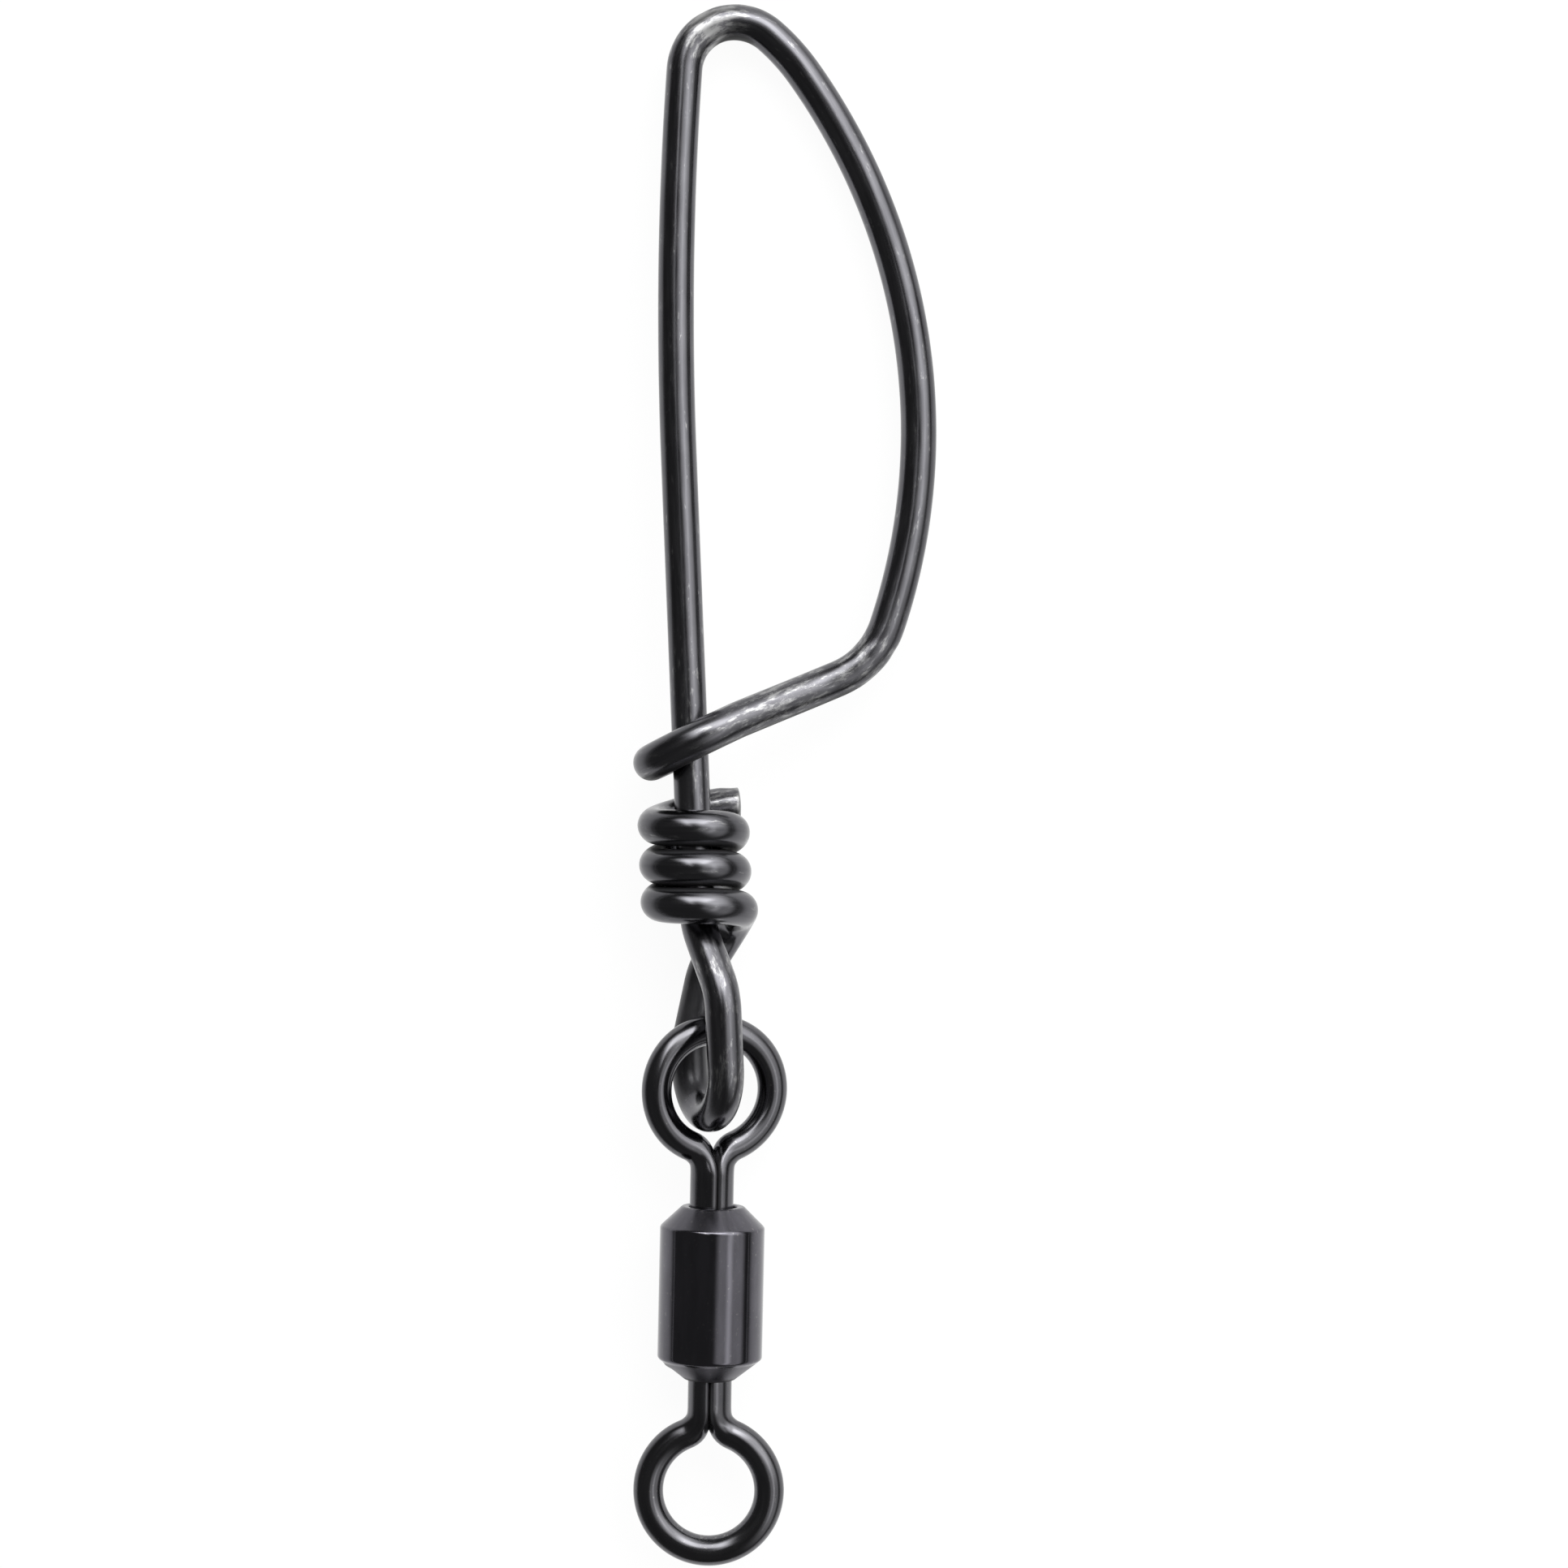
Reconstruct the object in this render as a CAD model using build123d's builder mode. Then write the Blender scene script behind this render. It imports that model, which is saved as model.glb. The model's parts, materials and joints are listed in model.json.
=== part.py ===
from build123d import *
from math import asin, atan2, cos, degrees, pi, radians, sin, sqrt, tan
import os

# Fishing snap swivel, lying flat. +Y runs from the line's end to the top of the snap, +X is to the
# right seen from above and +Z is up. The swivel's axis is parallel to Y. Millimetres and degrees.

# Barrel: a turned shell with a cone and a mouth at each end
barrel_d = 5.05
barrel_straight = 6.22  # cylinder between the two cones
cone_length = 1.30
barrel_wall = 0.55
rim_width = 0.31
barrel_edge_r = 0.30

# Eyes: a wire ring whose two legs are pressed into one round neck and upset inside the barrel
eye_wire_d = 1.45
ring_d = 7.30  # outside of the ring
neck_d = 2.10
neck_length = 1.79  # bare neck, with the eye pulled out
neck_clearance = 0.10  # on the radius, in the mouth
slit = 0.09  # between the two legs
hollow_r = 0.18  # where the ring's outside turns into the neck
head_thickness = 0.60
head_side_gap = 0.22  # head to the wall beside it
head_end_gap = 0.10  # head to the cone above it, along the axis
end_play = 0.20  # how far the line-side eye is pushed in
snap_eye_turn = 18.0  # how far the snap-side eye is turned on the axis

# Snap wire: one length from the cut tail to the tip of the hook
wire_d = 1.75
wrap_clearance = 0.06  # wrap to stem
wrap_gap = 0.05  # turn to turn, behind the stem
wrap_climb = 18.9  # slope of the wire behind the stem; what it climbs in front makes up the pitch
wrap_passes = 3  # in front of the stem
wrap_start = 5.80  # above the swing axis
tail_length = 2.20
tail_r = 9.0

# Outline of the snap, seen square on, from the point where the stem's line meets the swing axis
stem_straight = 27.5
top_corner_x = 1.65  # where the lines of stem and bow would meet
top_corner_y = 52.33
bow_reach = 11.77
bow_reach_y = 30.06
low_corner_x = 9.04  # where the lines of bow and bar would meet
low_corner_y = 17.66
hook_y = 14.04  # where the bar crosses the stem
top_bend_r = 2.60
low_bend_r = 4.35
low_bend_run = 0.46  # straight wire from the low bend to the bar's own plane
bar_run_in = 1.20  # flat run before the bar rises
bar_lift_r = 6.0
hook_clearance = 0.12  # hook to stem, in front and behind
hook_slack = 0.25  # more room at the stem's side
tip_length = 1.60

# Eye loop of the snap
loop_r = 2.25  # to the middle of the wire
loop_end_gap = 0.30  # loop's round end to the neck side of the ring
front_shoulder_y = 2.20  # above the swing axis
back_shoulder_y = 2.30
loop_bend_r = 3.0
cross_bend_r = 1.9
link_clearance = 0.195  # loop's back leg to the crown of the eye
loop_shift = 0.37  # loop's middle from the crown's, along the crown
stem_shift_x = -0.42  # stem's axis from the loop's middle, in the plane of the snap
stem_shift_z = 0.345

# How the snap lies, with its loop, its hook and its bow on the floor
snap_lean = 3.25
snap_pitch = 2.69
snap_roll = 5.0

# Sizes that follow
axis_height = barrel_d / 2
half_straight = barrel_straight / 2
half_length = half_straight + cone_length
bore_r = neck_d / 2 + neck_clearance
mouth_r = bore_r + rim_width
rim_edge_r = rim_width / 3
cone_slope = (barrel_d / 2 - mouth_r) / cone_length
chamber_r = barrel_d / 2 - barrel_wall
chamber_half = half_straight - barrel_wall * tan(atan2(cone_slope, 1) / 2)
ring_r = (ring_d - eye_wire_d) / 2
leg_x = (neck_d - eye_wire_d) / 2
shoulder_r = hollow_r + eye_wire_d / 2
shoulder_drop = sqrt((ring_r + shoulder_r) ** 2 - (leg_x + shoulder_r) ** 2)
ring_reach = half_length + neck_length + shoulder_drop
wrap_r = wire_d + wrap_clearance
wrap_pitch = (wire_d + wrap_gap) / cos(radians(wrap_climb))
back_rise = 2 * wrap_r * tan(radians(wrap_climb))
front_rise = wrap_pitch - back_rise
front_r = sqrt(wrap_r**2 + (front_rise / 2) ** 2)
back_r = sqrt(wrap_r**2 + (back_rise / 2) ** 2)
hook_r = wire_d + hook_clearance


def sweep_wire(path, diameter):
    """Sweeps a round wire along a path of tangent lines and arcs."""
    with BuildSketch(Plane(origin=path @ 0, z_dir=path % 0)) as section:
        Circle(diameter / 2)
    sweep(section.sketch, path=path)


def chamber_end(radius):
    """Distance from the barrel's middle to the inside of its cone, at a radius."""
    return chamber_half + (chamber_r - radius) / cone_slope


def swivel_eye(frame, pushed_in):
    """One eye on a frame whose Y runs out along the swivel's axis from the barrel's middle."""
    ring_y = ring_reach - pushed_in
    shoulder_y = ring_y - shoulder_drop
    shoulder_turn = degrees(atan2(shoulder_drop, leg_x + shoulder_r))
    head_r = chamber_r - head_side_gap
    neck_r = neck_d / 2
    cone_top = chamber_end(neck_r) - head_end_gap - pushed_in
    cone_foot = chamber_end(head_r) - head_end_gap - pushed_in
    head_foot = cone_foot - head_thickness
    neck_top = shoulder_y + neck_r - eye_wire_d / 2
    with BuildPart() as eye:
        # half of the ring, its shoulder and its leg, and the same mirrored
        with BuildLine(frame) as half_ring:
            CenterArc((0, ring_y), ring_r, 90, -90 - shoulder_turn)
            CenterArc((leg_x + shoulder_r, shoulder_y), shoulder_r, 180 - shoulder_turn, shoulder_turn)
            Line((leg_x, shoulder_y), (leg_x, cone_foot))
        sweep_wire(half_ring.line, eye_wire_d)
        mirror(about=Plane(origin=frame.origin, z_dir=frame.x_dir))
        # round neck and upset head
        with BuildSketch(frame) as neck:
            with BuildLine():
                Polyline(
                    (0, head_foot),
                    (head_r, head_foot),
                    (head_r, cone_foot),
                    (neck_r, cone_top),
                    (neck_r, shoulder_y),
                    (eye_wire_d / 2, neck_top),
                    (0, neck_top),
                    close=True,
                )
            make_face()
            rim = neck.vertices().sort_by_distance(frame.from_local_coords((head_r, head_foot)))[0]
            fillet(rim, head_thickness / 2)
        revolve(neck.sketch, axis=Axis(frame.origin, frame.y_dir))
        # slit between the legs, open to the ring's hole
        with BuildSketch(frame) as gap:
            with Locations((0, cone_foot)):
                Rectangle(slit, ring_y - ring_r / 2 - cone_foot, align=(Align.CENTER, Align.MIN))
        extrude(gap.sketch, amount=neck_d, both=True, mode=Mode.SUBTRACT)
    return eye


# Barrel
with BuildPart() as swivel_barrel:
    with BuildSketch(Plane.XY.offset(axis_height)) as shell:
        with BuildLine():
            Polyline(
                (bore_r, half_length),
                (mouth_r, half_length),
                (barrel_d / 2, half_straight),
                (barrel_d / 2, -half_straight),
                (mouth_r, -half_length),
                (bore_r, -half_length),
                (bore_r, -chamber_end(bore_r)),
                (chamber_r, -chamber_half),
                (chamber_r, chamber_half),
                (bore_r, chamber_end(bore_r)),
                close=True,
            )
        make_face()
        fillet(shell.vertices().group_by(Axis.X)[-1], barrel_edge_r)
        rims = shell.vertices().group_by(Axis.Y)
        fillet([rims[0].sort_by(Axis.X)[-1], rims[-1].sort_by(Axis.X)[-1]], rim_edge_r)
    revolve(shell.sketch, axis=Axis((0, 0, axis_height), (0, 1, 0)))

# Eyes: the snap's is turned on the axis, the line's faces straight up
axis_middle = Vector(0, 0, axis_height)
turn = radians(snap_eye_turn)
snap_frame = Plane(origin=axis_middle, x_dir=(cos(turn), 0, -sin(turn)), z_dir=(sin(turn), 0, cos(turn)))
line_frame = Plane(origin=axis_middle, x_dir=(-1, 0, 0), z_dir=(0, 0, 1))
snap_side_eye = swivel_eye(snap_frame, 0)
line_side_eye = swivel_eye(line_frame, end_play)

# Plane of the snap: its loop hangs round the crown of the eye, square to the crown's wire
crown = snap_frame.from_local_coords((0, ring_reach + ring_r, 0))
back_reach = (wire_d + eye_wire_d) / 2 + link_clearance
loop_middle = crown + snap_frame.z_dir * (loop_r - back_reach) - snap_frame.x_dir * loop_shift
tilted = Plane(origin=loop_middle).rotated((-snap_pitch, snap_roll, snap_lean))
stem_point = loop_middle + tilted.x_dir * stem_shift_x + tilted.z_dir * stem_shift_z
snap_plane = Plane(origin=stem_point, x_dir=tilted.x_dir, z_dir=tilted.z_dir)

# Places on the snap, in its own plane
leg_turn = radians(snap_eye_turn - snap_roll)
leg_dx = loop_r * sin(leg_turn)
leg_dz = loop_r * cos(leg_turn)
loop_foot_y = loop_r + loop_end_gap + (eye_wire_d + wire_d) / 2 - 2 * ring_r
front_x = leg_dx - stem_shift_x
front_z = leg_dz - stem_shift_z
back_x = -leg_dx - stem_shift_x
back_z = -leg_dz - stem_shift_z
stem_foot_y = wrap_start - wire_d / 3
stem_clear_y = stem_foot_y + loop_bend_r
bar_angle = atan2(low_corner_y - hook_y, low_corner_x)
bar_dir = snap_plane.x_dir * -cos(bar_angle) - snap_plane.y_dir * sin(bar_angle)

with BuildPart() as snap_wire:
    # eye loop: from the wrap across behind the stem, down, round and up to the stem
    with BuildLine(snap_plane) as loop:
        FilletPolyline(
            (wrap_r, wrap_start, 0),
            (wrap_r, wrap_start, -cross_bend_r),
            (back_x, back_shoulder_y, back_z),
            (back_x, loop_foot_y, back_z),
            radius=(cross_bend_r, loop_bend_r),
        )
        ThreePointArc(
            (back_x, loop_foot_y, back_z),
            (-stem_shift_x, loop_foot_y - loop_r, -stem_shift_z),
            (front_x, loop_foot_y, front_z),
        )
        FilletPolyline(
            (front_x, loop_foot_y, front_z),
            (front_x, front_shoulder_y, front_z),
            (0, stem_foot_y, 0),
            (0, stem_clear_y, 0),
            radius=loop_bend_r,
        )
    sweep_wire(loop.line, wire_d)

    # stem, top bend, bow and low bend
    with BuildLine(snap_plane) as outline:
        stem = Line((0, stem_clear_y), (0, stem_straight))
        TangentArc((0, stem_straight), (top_corner_x, top_corner_y), tangent=stem % 1)
        bow = ThreePointArc(
            (top_corner_x, top_corner_y), (bow_reach, bow_reach_y), (low_corner_x, low_corner_y)
        )
        low_turn = radians((bow % 1).get_angle(bar_dir))
        bar_stub = low_bend_r * tan(low_turn / 2) + low_bend_run
        bar_start = (low_corner_x - bar_stub * cos(bar_angle), low_corner_y - bar_stub * sin(bar_angle))
        Line((low_corner_x, low_corner_y), bar_start)
        top_corner = snap_plane.from_local_coords((top_corner_x, top_corner_y))
        fillet(outline.vertices().sort_by_distance(top_corner)[0], top_bend_r)
        low_corner = snap_plane.from_local_coords((low_corner_x, low_corner_y))
        fillet(outline.vertices().sort_by_distance(low_corner)[0], low_bend_r)
    sweep_wire(outline.line, wire_d)

    # bar and hook: up over the stem, round its far side and back under it
    bar_plane = Plane(
        origin=snap_plane.from_local_coords(bar_start),
        x_dir=bar_dir,
        z_dir=bar_dir.cross(snap_plane.z_dir),
    )
    hook_middle = bar_start[0] / cos(bar_angle) + hook_slack
    lift = asin(hook_r / (hook_middle - bar_run_in))
    hook_start = (hook_middle - hook_r * sin(lift), hook_r * cos(lift))
    with BuildLine(bar_plane) as bar:
        FilletPolyline((0, 0), (bar_run_in, 0), hook_start, radius=bar_lift_r)
        hook = JernArc(hook_start, (cos(lift), sin(lift)), hook_r, -180 - degrees(lift))
        Line(hook @ 1, hook @ 1 - bar_dir * tip_length)
    sweep_wire(bar.line, wire_d)

    # wrap: left-handed half turns up the stem, flatter in front than behind, and the cut tail
    with BuildLine(snap_plane) as wrap:
        for wrap_pass in range(wrap_passes):
            right_y = wrap_start + wrap_pass * wrap_pitch
            left_y = right_y + front_rise
            back_y = left_y + back_rise / 2
            ThreePointArc((wrap_r, right_y, 0), (0, left_y - front_rise / 2, front_r), (-wrap_r, left_y, 0))
            if wrap_pass < wrap_passes - 1:
                ThreePointArc((-wrap_r, left_y, 0), (0, back_y, -back_r), (wrap_r, right_y + wrap_pitch, 0))
        quarter_x = -wrap_r * cos(pi / 4)
        quarter_y = left_y + back_rise / 2 * (1 - cos(pi / 4))
        ThreePointArc((-wrap_r, left_y, 0), (quarter_x, quarter_y, -back_r * sin(pi / 4)), (0, back_y, -back_r))
    sweep_wire(wrap.line, wire_d)
    tail_plane = Plane(
        origin=snap_plane.from_local_coords((0, back_y, -back_r)),
        x_dir=snap_plane.x_dir,
        z_dir=snap_plane.z_dir,
    )
    with BuildLine(tail_plane) as tail:
        tail_climb = radians(wrap_climb)
        JernArc((0, 0), (cos(tail_climb), sin(tail_climb)), tail_r, -degrees(tail_length / tail_r))
    sweep_wire(tail.line, wire_d)

# The origin goes to the middle of the whole at floor level
whole = Compound([swivel_barrel.part, snap_side_eye.part, line_side_eye.part, snap_wire.part]).bounding_box()
to_origin = Location((-whole.center().X, -whole.center().Y, -whole.min.Z))
swivel_barrel.part.move(to_origin)
snap_side_eye.part.move(to_origin)
line_side_eye.part.move(to_origin)
snap_wire.part.move(to_origin)

swivel_barrel.part.label = "swivel_barrel"
snap_side_eye.part.label = "snap_side_eye"
line_side_eye.part.label = "line_side_eye"
snap_wire.part.label = "snap_wire"

os.makedirs("parts", exist_ok=True)
export_step(swivel_barrel.part, "parts/swivel_barrel.step")
export_step(snap_side_eye.part, "parts/snap_side_eye.step")
export_step(line_side_eye.part, "parts/line_side_eye.step")
export_step(snap_wire.part, "parts/snap_wire.step")
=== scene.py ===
# Fishing snap swivel: wire snap, two wire eyes and barrel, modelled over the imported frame.
# The dictionaries hold millimetres and degrees; the meshes are in metres.
import json
import bpy
import numpy as np
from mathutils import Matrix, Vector


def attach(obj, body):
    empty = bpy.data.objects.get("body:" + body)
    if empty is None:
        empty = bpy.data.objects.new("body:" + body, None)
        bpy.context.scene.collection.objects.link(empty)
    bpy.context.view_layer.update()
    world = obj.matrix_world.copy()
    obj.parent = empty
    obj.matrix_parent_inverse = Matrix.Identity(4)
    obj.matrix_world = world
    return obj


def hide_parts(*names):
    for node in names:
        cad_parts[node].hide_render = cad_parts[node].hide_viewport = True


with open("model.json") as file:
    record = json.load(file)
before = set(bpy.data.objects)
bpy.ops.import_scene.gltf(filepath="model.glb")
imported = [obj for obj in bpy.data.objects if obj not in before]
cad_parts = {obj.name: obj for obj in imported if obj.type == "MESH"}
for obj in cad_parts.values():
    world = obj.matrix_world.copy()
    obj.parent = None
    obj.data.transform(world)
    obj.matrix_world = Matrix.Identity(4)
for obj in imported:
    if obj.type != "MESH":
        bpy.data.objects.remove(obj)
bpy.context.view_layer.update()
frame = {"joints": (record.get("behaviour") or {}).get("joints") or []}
joints = {joint["name"]: joint for joint in frame["joints"]}
millimetre = 0.001  # in metres
print("stage: frame loaded")


# Shapes shared by the pieces

arcStep, arcLeast = 0.03, 6  # about the step along an arc, and its fewest points
runStep = 0.02  # the step along a steered run
domeAngles = np.radians([80, 60, 40, 20])  # the rows that close a tube's end, from its tip


def unit(v):
    # v / |v| along the last axis
    v = np.asarray(v, float)
    return v / np.maximum(np.linalg.norm(v, axis=-1, keepdims=True), 1e-12)


def eased(x, low, high):
    # t = (x - low) / (high - low) held to 0..1, then t^2 (3 - 2t)
    t = np.clip((np.asarray(x, float) - low) / (high - low), 0, 1)
    return t * t * (3 - 2 * t)


def hump(x, width):
    # exp(-(x / width)^2): 1 at x = 0, fading out to both sides
    return np.exp(-(x / width) ** 2)


def turned(axis, angle):
    # rotation matrix about axis k: cos I + sin [k]x + (1 - cos) k k^T
    x, y, z = unit(axis)
    c, s = np.cos(np.radians(angle)), np.sin(np.radians(angle))
    cross = np.array([[0, -z, y], [z, 0, -x], [-y, x, 0]])
    return c * np.eye(3) + s * cross + (1 - c) * np.outer([x, y, z], [x, y, z])


def arcRun(centre, across, along, radius, first, last):
    # centre + radius (cos a across + sin a along), a from first to last
    count = max(int(abs(np.radians(last - first)) * radius / arcStep), arcLeast)
    a = np.radians(np.linspace(first, last, count))[:, None]
    return np.asarray(centre) + radius * (np.cos(a) * np.asarray(across) + np.sin(a) * np.asarray(along))


def roundedRun(corners, radii):
    # straight runs with each inner corner replaced by the arc tangent to both its runs:
    # centre + r (-n cos a + d sin a), where d comes in and n points to the inside of the turn
    corners = np.asarray(corners, float)
    ways = unit(np.diff(corners, axis=0))
    pieces = [corners[:1]]
    for corner, d, out, radius in zip(corners[1:-1], ways[:-1], ways[1:], radii):
        turn = np.arccos(np.clip(d @ out, -1, 1))
        start = corner - d * radius * np.tan(turn / 2)
        n = unit(out - (out @ d) * d)
        pieces.append(arcRun(start + n * radius, -n, d, radius, 0, np.degrees(turn)))
    return np.concatenate(pieces + [corners[-1:]])


def steeredRun(start, heading, runs):
    # a path in a plane: the heading turns evenly over each run, and the place is the sum of its steps
    lengths = [run[0] for run in runs]
    s = np.arange(runStep / 2, sum(lengths), runStep)
    ends = np.concatenate([[0], np.cumsum(lengths)])
    turns = np.concatenate([[0], np.cumsum([run[1] for run in runs])])
    a = np.radians(heading + np.interp(s, ends, turns))
    moves = np.stack([np.cos(a), np.sin(a), np.zeros_like(a)], 1) * runStep
    return np.asarray(start, float) + np.concatenate([np.zeros((1, 3)), np.cumsum(moves, 0)])


def evenly(points, step):
    # the same line at equal steps of its own length, and the length up to each step
    gone = np.concatenate([[0], np.cumsum(np.linalg.norm(np.diff(points, axis=0), axis=1))])
    points = points[np.concatenate([[True], np.diff(gone) > 1e-6])]
    gone = np.concatenate([[0], np.cumsum(np.linalg.norm(np.diff(points, axis=0), axis=1))])
    s = np.linspace(0, gone[-1], int(round(gone[-1] / step)) + 1)
    return np.stack([np.interp(s, gone, points[:, k]) for k in range(3)], 1), s


def carried(path, first):
    # tangents of the path, and its cross vectors n and b, carried from station to station without twist
    tangents = unit(np.gradient(path, axis=0))
    across = np.empty_like(path)
    n = np.asarray(first, float)
    for k, t in enumerate(tangents):
        n = unit(n - (n @ t) * t)
        across[k] = n
    return tangents, across, np.cross(tangents, across)


def ripple(place, waves, seed, count=7, spread=1.8):
    # a smooth uneven field of about -1 to 1: the mean of sines of random direction, times the spread;
    # waves is in cycles per millimetre
    random = np.random.default_rng(seed)
    ways = unit(random.normal(size=(count, 3))) * waves * random.uniform(0.6, 1.4, (count, 1))
    phases = random.uniform(0, 2 * np.pi, count)
    return np.sin(2 * np.pi * place @ ways.T + phases).mean(-1) * spread


def gridFaces(rows, columns, closed):
    # quads between neighbouring rows of a grid whose columns go round, and its rows too if it is closed
    i, j = np.meshgrid(np.arange(rows if closed else rows - 1), np.arange(columns), indexing="ij")
    up, over = (i + 1) % rows, (j + 1) % columns
    quads = [i * columns + j, i * columns + over, up * columns + over, up * columns + j]
    return np.stack(quads, -1).reshape(-1, 4).tolist()


def tipFaces(rows, columns):
    # triangles from the two tips, which come after the grid's own points, to its first and last rows
    j = np.arange(columns)
    over, last, tip = (j + 1) % columns, (rows - 1) * columns, rows * columns
    first = np.stack([np.full(columns, tip), over, j], -1)
    end = np.stack([np.full(columns, tip + 1), last + j, last + over], -1)
    return first.tolist() + end.tolist()


def pieceFrom(name, points, faces, fields, material):
    # a mesh object at the origin, its points in metres and its fields as point attributes
    mesh = bpy.data.meshes.new(name)
    mesh.from_pydata((points * millimetre).tolist(), [], [tuple(face) for face in faces])
    for field, values in fields.items():
        isVector = np.ndim(values) == 2
        attribute = mesh.attributes.new(field, "FLOAT_VECTOR" if isVector else "FLOAT", "POINT")
        attribute.data.foreach_set("vector" if isVector else "value", np.ravel(values).astype(np.float32))
    mesh.polygons.foreach_set("use_smooth", np.ones(len(mesh.polygons), bool))
    mesh.materials.append(material)
    mesh.validate()
    piece = bpy.data.objects.new(name, mesh)
    bpy.context.scene.collection.objects.link(piece)
    return piece


def tubeStations(count):
    # the station that each row of a tube belongs to: the rows of its domes belong to the end stations
    extra = len(domeAngles)
    return np.concatenate([np.zeros(extra, int), np.arange(count), np.full(extra, count - 1)])


def overTube(values, sides):
    # the values of a tube's stations, given to each point of its rows and to its two tips
    return np.concatenate([np.repeat(values[tubeStations(len(values))], sides, 0), values[[0, -1]]])


def rings(sides, n, b):
    # cos a n + sin a b, for each station and each side's angle a
    a = np.linspace(0, 2 * np.pi, sides, endpoint=False)
    return np.cos(a)[None, :, None] * n[:, None] + np.sin(a)[None, :, None] * b[:, None]


def tube(path, s, n, b, t, reach, dome):
    # station + reach (cos a n + sin a b), closed at both ends by a dome: reach cos e, dome sin e
    rows, sides = reach.shape
    grow, push = np.cos(domeAngles)[:, None], np.sin(domeAngles)[:, None] * dome
    centres = np.concatenate([path[0] - t[0] * push, path, path[-1] + t[-1] * push[::-1]])
    spread = np.concatenate([reach[0] * grow, reach, reach[-1] * grow[::-1]])
    ring = rings(sides, n, b)[tubeStations(rows)]
    points = (centres[:, None] + spread[..., None] * ring).reshape(-1, 3)
    tips = np.stack([path[0] - t[0] * dome, path[-1] + t[-1] * dome])
    faces = gridFaces(len(centres), sides, False) + tipFaces(len(centres), sides)
    a = np.linspace(0, 2 * np.pi, sides, endpoint=False)
    around = np.tile(np.stack([np.cos(a), np.sin(a)], 1), (len(centres), 1))
    place = np.column_stack([overTube(s, sides), np.concatenate([around, np.zeros((2, 2))])])
    return np.concatenate([points, tips]), faces, place


def lathe(profile, sides, closed):
    # (r cos a, y, r sin a) round Y for each (r, y) of the profile; one that isn't closed gets two tips on Y
    a = np.linspace(0, 2 * np.pi, sides, endpoint=False)
    r, y = profile[:, :1], profile[:, 1:2]
    points = np.stack([r * np.cos(a), y + 0 * a, r * np.sin(a)], -1).reshape(-1, 3)
    place = np.stack([np.broadcast_to(a, (len(profile), sides)), y + 0 * a, r + 0 * a], -1).reshape(-1, 3)
    faces = gridFaces(len(profile), sides, closed)
    if closed:
        return points, faces, place
    tips = [(0, profile[0, 1], 0), (0, profile[-1, 1], 0)]
    faces = faces + tipFaces(len(profile), sides)
    return np.concatenate([points, tips]), faces, np.concatenate([place, np.zeros((2, 3))])


# Finishes

def newTree(owner):
    # the emptied node tree of a material or a world
    owner.use_nodes = True
    owner.node_tree.nodes.clear()
    return owner.node_tree


def put(tree, kind, **settings):
    # a node with its settings; names that are inputs are set or linked as inputs, i0 being the first
    node = tree.nodes.new(kind)
    for key, value in settings.items():
        if key in node.bl_rna.properties:
            setattr(node, key, value)
            continue
        socket = node.inputs[int(key[1:])] if key[0] == "i" and key[1:].isdigit() else node.inputs[key]
        if isinstance(value, bpy.types.NodeSocket):
            tree.links.new(value, socket)
        else:
            socket.default_value = value
    return node


def reckon(tree, operation, first, second=0.0, third=0.0):
    # one sum on numbers or sockets; MULTIPLY_ADD is first times second plus third
    return put(tree, "ShaderNodeMath", operation=operation, i0=first, i1=second, i2=third).outputs[0]


def ranged(tree, value, low, high, first, last):
    # value from low to high becomes first to last, eased
    node = put(tree, "ShaderNodeMapRange", interpolation_type="SMOOTHSTEP", i0=value)
    for index, number in zip((1, 2, 3, 4), (low, high, first, last)):
        node.inputs[index].default_value = number
    return node.outputs[0]


def mixed(tree, factor, first, second):
    # first to second as factor goes 0 to 1, on colours
    node = put(tree, "ShaderNodeMix", data_type="RGBA")
    for index, value in ((0, factor), (6, first), (7, second)):
        if isinstance(value, bpy.types.NodeSocket):
            tree.links.new(value, node.inputs[index])
        else:
            node.inputs[index].default_value = value
    return node.outputs[2]


def noise(tree, place, stretch, detail, rough):
    # fractal noise of the place, stretched along each axis
    spread = put(tree, "ShaderNodeMapping", Vector=place, Scale=stretch).outputs[0]
    settings = {"Vector": spread, "Scale": 1.0, "Detail": detail, "Roughness": rough}
    return put(tree, "ShaderNodeTexNoise", **settings).outputs[0]


# What the three finishes share
plating = {
    "lineDetail": 3.0, "cloudDetail": 2.0, "speckDetail": 4.0, "softNoise": 0.55, "hardNoise": 0.7,
    # specks raised by wear turn from plate to bare metal between these two
    "wearLift": 0.34, "bareFrom": 0.62, "bareFull": 0.84,
    # tone from dark to light, and lines from smooth to rough
    "lineShare": 0.6, "cloudShare": 0.4, "tone": (0.35, 0.65), "lineSpan": (0.3, 0.7),
    # painted shade: its near-black colour, how much metal it hides, and how much it and the satin surface
    # roughen
    "paintedShadeColour": (0.012, 0.012, 0.013, 1), "shadeHidesMetal": 0.9, "satin": 0.28,
}


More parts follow.
